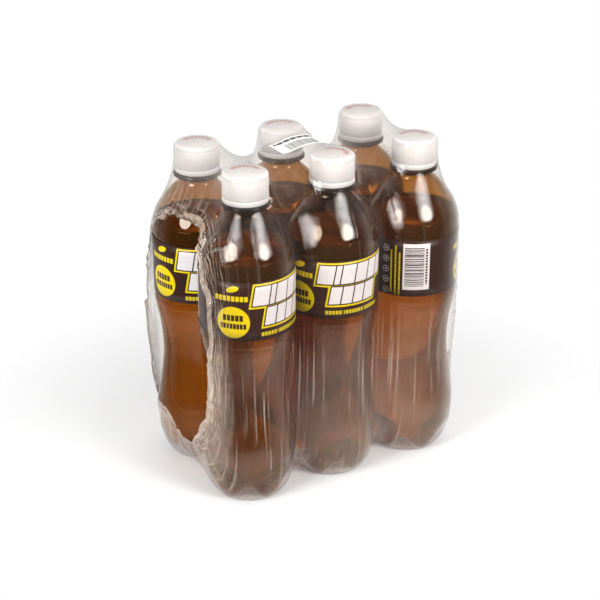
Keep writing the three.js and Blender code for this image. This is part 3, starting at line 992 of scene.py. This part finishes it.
# %% [markdown]
# ## Shrinking
#
# Hot film pulls evenly until it is tight. A physics engine could pull it, but all that matters is where it
# comes to rest, and there each point lies at the mean of its neighbours unless something holds it. So that
# mean is taken again and again. A fine sheet would need thousands of rounds, so it starts coarse, and the
# tight coarse sheet is refined twice.

# %% Shrink it
ROUND_TENSION = 2.5


def shrink(along, around_count, steps, reach=None):
    """The tight sleeve, and how far out on its line each point rests."""
    start = sheet_start(along, around_count)
    origin, way, near, ground, first = lines(start)
    if reach is None:
        reach = first
    reach = np.clip(reach, near, ground)
    fixed = start[[0, -1]]
    for _ in range(steps):
        p = origin + way * reach[..., None]
        p[[0, -1]] = fixed
        total = np.zeros_like(reach[1:-1])
        mean = np.zeros_like(p[1:-1])
        around_pair = [np.roll(p, 1, 1)[1:-1], np.roll(p, -1, 1)[1:-1]]
        for tension, pair in ((1, [p[2:], p[:-2]]), (ROUND_TENSION, around_pair)):
            for other in pair:
                weight = tension / (np.linalg.norm(other - p[1:-1], axis=-1) + 0.1)
                mean += other * weight[..., None]
                total += weight
        mean /= total[..., None]
        aim = ((mean - origin[1:-1]) * way[1:-1]).sum(-1)
        reach[1:-1] = np.clip(aim, near[1:-1], ground[1:-1])
    p = origin + way * reach[..., None]
    p[[0, -1]] = fixed
    return p, reach


def finer(reach):
    """The same field with twice as many rows and stations."""
    rows = np.repeat(reach, 2, 0)[:-1].copy()
    rows[1::2] = (reach[1:] + reach[:-1]) / 2
    both = np.repeat(rows, 2, 1)
    both[:, 1::2] = (rows + np.roll(rows, -1, 1)) / 2
    return both


tight, reach = shrink(ALONG, AROUND, 400)
for steps in (200, 120):
    reach = finer(reach)
    tight, reach = shrink(*reach.shape, steps, reach)
print("the film has", tight.shape[:2], "points and is", round(float(tight[..., 2].max()), 1), "mm high")

# %% [markdown]
# ## Crumpled ends
#
# Past the last bottles nothing holds the film, so it shrinks into small folds that run in from the edge.
# They could come from a noise, but folds have a direction. A sum of a few waves round the opening, which
# twist as they run inwards and fade out, looks the same each time it is made.

# %% Crumple its ends
CRUMPLE_FROM = 0.78
CRUMPLE_MM = 1.2
FOLDS = [(19, 0.9, 4), (31, 0.8, -9), (47, 0.6, 14), (67, 0.3, 23)]


def crumple(points):
    """Folds that run in from both rims, where the film shrank with nothing inside to hold it smooth."""
    along, around_count = points.shape[:2]
    side_way = np.roll(points, -1, 1) - np.roll(points, 1, 1)
    out = np.cross(side_way, np.gradient(points, axis=0))
    out /= np.linalg.norm(out, axis=-1)[..., None]
    out *= np.sign((out * (points - [0, 0, 110]))[along // 2].sum())
    share = np.linspace(-1, 1, along)[:, None]
    turn = np.linspace(0, math.tau, around_count, endpoint=False)[None]
    wave = sum(size * np.sin(count * turn + twist * share + count) for count, size, twist in FOLDS)
    depth = np.clip((np.abs(share) - CRUMPLE_FROM) / (1 - CRUMPLE_FROM), 0, 1) ** 1.3
    top = np.exp(-(((turn - math.pi) / 0.5) ** 2))
    back = np.exp(-(((turn - math.pi / 2) / 0.9) ** 2))
    much = (1 + top - 0.75 * back) * np.where(share < 0, 1, 0.3)
    moved = points + out * (CRUMPLE_MM * depth * much * np.abs(wave))[..., None]
    low, high = (np.array(corner) / MM for corner in cad_box)
    return np.clip(moved, low + CLEAR / 2, high - CLEAR / 2)


folded = crumple(tight)
proud = np.linalg.norm(folded - tight, axis=-1).max()
print("the folds stand up to", round(float(proud), 1), "mm proud")

# %% [markdown]
# ## Film mesh
#
# The sleeve so far is only a table of points. A mesh could be made straight from it, but a flat grid brings
# its faces and its UV map with it. So the grid's points are laid on the sleeve, and the grid's two long
# edges are merged where they meet under the case.

# %% Film mesh
def film_mesh(points):
    """A flat grid whose points are laid on the shrunk sleeve, with its long edges merged underneath."""
    deselect()
    along, around_count = points.shape[:2]
    cuts = {"x_subdivisions": along - 1, "y_subdivisions": around_count}
    bpy.ops.mesh.primitive_grid_add(size=2, calc_uvs=True, **cuts)
    film = bpy.context.object
    film.name = "film_sleeve"
    co = np.empty(3 * len(film.data.vertices))
    film.data.vertices.foreach_get("co", co)
    co = co.reshape(-1, 3)
    i = np.rint((co[:, 0] + 1) / 2 * (along - 1)).astype(int)
    j = np.rint((co[:, 1] + 1) / 2 * around_count).astype(int) % around_count
    film.data.vertices.foreach_set("co", (points[i, j] * MM).ravel())
    film.data.update()
    bpy.ops.object.mode_set(mode="EDIT")
    bpy.ops.mesh.select_all(action="SELECT")
    bpy.ops.mesh.remove_doubles(threshold=0.001 * MM)
    bpy.ops.mesh.normals_make_consistent(inside=False)
    bpy.ops.object.mode_set(mode="OBJECT")
    bpy.ops.object.shade_smooth()
    return film


film = film_mesh(folded)
print("the film's mesh has", len(film.data.polygons), "faces")

# %% [markdown]
# ## Film finish
#
# Clear film shows by what it mirrors and by its milky creases, and much less where it is smooth. Glass could
# stand for it, but would bend the view through so thin a sheet. So clear, milky and mirroring shaders are
# mixed. Streaks round the case make the creases, more of them low down and towards the crumpled ends, and
# the same streaks bump what it mirrors. Low down, from the middle to the right-hand end, the film is also
# made a little milkier: painted light, standing in for the floor that the lower bodies mirror there.

# %% Film finish
FILM_T = 0.12 * MM
FILM_TINT = (0.975, 0.960, 0.946, 1)


def film_finish():
    s = Shader("clear_film")
    uv = s.node("TexCoord", output="UV")
    u = s.parts(uv)[0]
    z = s.parts(s.node("TexCoord", output="Object"))[2]
    end = abs(u - 0.5).above(0.44, 0.08)
    hem = abs(u - 0.5).above(0.4945, 0.006)
    low = z.below(0.105, 0.05)
    streak = s.spots(1.0, 4.0, 0.6, stretch=(150, 7, 1), where=uv)
    creases = streak.above(0.62, 0.1)
    rolled = s.spots(1.0, 3.0, 0.6, stretch=(260, 22, 1), where=uv, shift=(3, 0, 0)).above(0.56, 0.1)
    # milky creases, rolled ends and hem are the film's own; the low term that grows from the middle to the
    # right-hand end is painted light, standing in for the floor mirrored in the lower bodies there
    haze_and_painted_light = 0.004 + creases * (0.03 + low * 0.19) + low * u.above(0.4, 0.2) * 0.04
    haze_and_painted_light = haze_and_painted_light + end * (rolled * 0.28 + low * 0.14) + hem * 0.3 + z.above(0.215, 0.02) * 0.02
    bump = s.node("Bump", None, {"Height": streak + creases * 0.6, "Strength": 0.14, "Distance": 0.0012})
    clear = s.node("BsdfTransparent", None, {"Color": FILM_TINT})
    milk = s.node("BsdfDiffuse", None, {"Color": srgb(232, 214, 196)})
    shine = s.node("BsdfGlossy", None, {"Roughness": 0.035, "Normal": bump})
    body = s.node("MixShader", None, {0: haze_and_painted_light, 1: clear, 2: milk})
    return s.surface(s.node("MixShader", None, {0: s.mirror(0.02, bump), 1: body, 2: shine}))


film.data.materials.append(film_finish())
thicken(film, FILM_T, 1)
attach(film, "root")
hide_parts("film")

# %% [markdown]
# ## Sticker
#
# A white paper sticker lies on top of the film, between the caps of the middle bottles. A flat card would
# float over the film here and cut into it there, as paper bends with what it is stuck to. So a fine grid is
# dropped straight down onto the film, smoothed because paper is stiff, and given the paper's thickness.

# %% Sticker
STICKER_X, STICKER_Y = STICKER_AT[0] * MM, STICKER_AT[1] * MM
STICKER_LONG, STICKER_WIDE = STICKER_SIZE[0] * MM, STICKER_SIZE[1] * MM
STICKER_T, STICKER_LIFT = 0.15 * MM, 0.1 * MM
DROP_FROM = 0.4

deselect()
bpy.ops.mesh.primitive_grid_add(x_subdivisions=38, y_subdivisions=21, size=1, calc_uvs=True)
sticker = bpy.context.object
sticker.name = "top_sticker"
ground = BVHTree.FromObject(film, bpy.context.evaluated_depsgraph_get())
for vertex in sticker.data.vertices:
    at = Vector((vertex.co.x * STICKER_LONG + STICKER_X, vertex.co.y * STICKER_WIDE + STICKER_Y, DROP_FROM))
    hit = ground.ray_cast(at, Vector((0, 0, -1)))[0]
    vertex.co = (at.x, at.y, hit.z + STICKER_LIFT)
smooth = sticker.modifiers.new("stiff_paper", "SMOOTH")
smooth.iterations = 12
bpy.ops.object.modifier_apply(modifier="stiff_paper")
thicken(sticker, STICKER_T, 1)
bpy.ops.object.shade_smooth()
print("the sticker lies", round(max(v.co.z for v in sticker.data.vertices) / MM, 1), "mm above the floor")

# %% Sticker finish
def sticker_finish():
    """White paper with a block of bars and a row of marks above it."""
    s = Shader("sticker_paper")
    u, v, _ = s.parts(s.node("TexCoord", output="UV"))
    x = u * (STICKER_LONG / MM)
    y = v * (STICKER_WIDE / MM)
    noise = s.node("TexNoise", {"noise_dimensions": "1D"}, {"W": x, "Scale": 1.6, "Detail": 1.0})
    bars = noise.above(0.5, 0.02) * box_mask(x, y, 8, 31, 2.5, 12.5)
    marks = (x / 5.2).math("FRACT").between(0.06, 0.92, 0.04) * box_mask(x, y, 3, 33, 15.5, 18.5)
    ink = (bars + marks).math("MINIMUM", 1)
    colour = s.mix(ink, srgb(240, 238, 236), srgb(40, 36, 36))
    return s.surface(s.node("BsdfPrincipled", None, {"Base Color": colour, "Roughness": 0.5}))


sticker.data.materials.append(sticker_finish())
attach(sticker, "root")
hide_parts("sticker")

# %% [markdown]
# ## Sizes
# The finished pieces have to stay within the size of the solids, or the part would no longer fit where it is
# meant to stand. They could be compared by eye. Here the scene is only brought up to date.

# %% Bring the scene up to date
bpy.context.view_layer.update()
